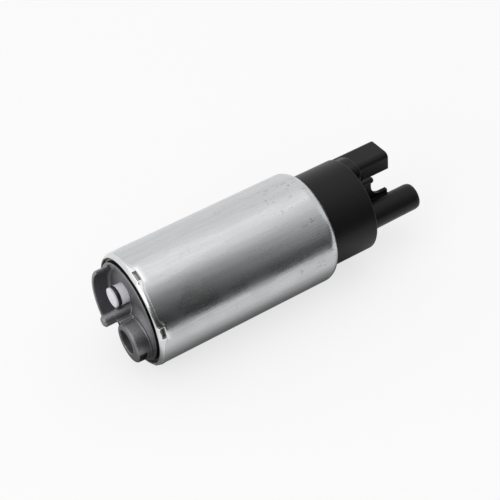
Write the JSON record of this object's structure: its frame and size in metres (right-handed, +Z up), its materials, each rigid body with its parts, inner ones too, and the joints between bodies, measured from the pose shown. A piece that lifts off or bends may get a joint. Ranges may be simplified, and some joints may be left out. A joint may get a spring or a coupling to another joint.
{
  "type": "electric fuel pump",
  "caption": "Electric in-tank turbine fuel pump: steel can with a cast inlet cover at one end and a black head with outlet tube and connector at the other.",
  "frame": {"origin": "on the surface that the can lies on, below the middle of the pump's length", "axes": "+X along the shaft from the inlet to the outlet, +Z up, with the connector's broad sides level"},
  "size_m": [0.115, 0.038, 0.038],
  "materials": {
    "can_steel": "satin rolled steel with faint lines along the can",
    "cast_aluminium": "matte grey die casting",
    "seal_rubber": "smooth black rubber",
    "white_nylon": "white nylon, slightly translucent",
    "ceramic": "fired ceramic",
    "impeller_resin": "brown phenolic moulding",
    "sintered_bronze": "oily sintered bronze",
    "shaft_steel": "ground steel",
    "lamination_steel": "stacked laminations",
    "enamelled_copper": "enamelled copper wire",
    "fibre_board": "pressed fibre",
    "phenolic": "moulded phenolic resin",
    "carbon": "fine grey carbon",
    "ferrite": "dark sintered ferrite",
    "spring_steel": "bright spring steel",
    "natural_nylon": "cream moulded plastic",
    "bare_copper": "braided bare copper",
    "tinned_brass": "tin-plated brass",
    "black_nylon": "satin black moulded plastic"
  },
  "bodies": {
    "pump_body": {"outer_can": "can_steel", "inlet_cover": "cast_aluminium", "cover_seal": "seal_rubber", "vent_plug": "white_nylon", "plug_o_ring": "seal_rubber", "thrust_pad": "ceramic", "spacer_ring": "cast_aluminium", "pump_casing": "cast_aluminium", "front_bush": "sintered_bronze", "magnet_a": "ferrite", "magnet_b": "ferrite", "magnet_clips": "spring_steel", "brush_spring_a": "spring_steel", "brush_spring_b": "spring_steel", "brush_holder": "natural_nylon", "rear_bush": "sintered_bronze", "pigtail_a": "bare_copper", "pigtail_b": "bare_copper", "choke_coils": "enamelled_copper", "choke_cores": "ferrite", "terminals": "tinned_brass", "outlet_head": "black_nylon", "head_seal": "seal_rubber", "check_seat": "seal_rubber", "check_spring": "spring_steel", "check_guide": "white_nylon", "relief_seat": "tinned_brass", "relief_spring": "spring_steel", "relief_plug": "natural_nylon"},
    "rotor": {"shaft": "shaft_steel", "impeller": "impeller_resin", "armature_core": "lamination_steel", "armature_windings": "enamelled_copper", "core_insulators": "fibre_board", "commutator_hub": "phenolic", "commutator_segments": "carbon"},
    "carbon_brush_a": {"brush_a": "carbon"},
    "carbon_brush_b": {"brush_b": "carbon"},
    "outlet_valve": {"check_valve": "white_nylon"},
    "relief_valve": {"relief_ball": "shaft_steel"}
  },
  "joints": [
    {"name": "rotor_spin", "type": "hinge", "parent": "pump_body", "child": "rotor", "pos_m": [0, 0, 0.019], "axis": [1, 0, 0], "continuous": true},
    {"name": "brush_a_slide", "type": "slide", "parent": "pump_body", "child": "carbon_brush_a", "axis": [1, 0, 0], "range_m": [0, 0.002], "stiffness_N_per_m": 150, "springref_m": -0.004, "deforming": ["brush_spring_a", "pigtail_a"]},
    {"name": "brush_b_slide", "type": "slide", "parent": "pump_body", "child": "carbon_brush_b", "axis": [1, 0, 0], "range_m": [0, 0.002], "stiffness_N_per_m": 150, "springref_m": -0.004, "deforming": ["brush_spring_b", "pigtail_b"]},
    {"name": "check_valve_slide", "type": "slide", "parent": "pump_body", "child": "outlet_valve", "axis": [1, 0, 0], "range_m": [0, 0.002], "stiffness_N_per_m": 100, "springref_m": -0.002, "deforming": ["check_spring"]},
    {"name": "relief_valve_slide", "type": "slide", "parent": "pump_body", "child": "relief_valve", "axis": [1, 0, 0], "range_m": [0, 0.0012], "stiffness_N_per_m": 400, "springref_m": -0.003, "deforming": ["relief_spring"]}
  ]
}
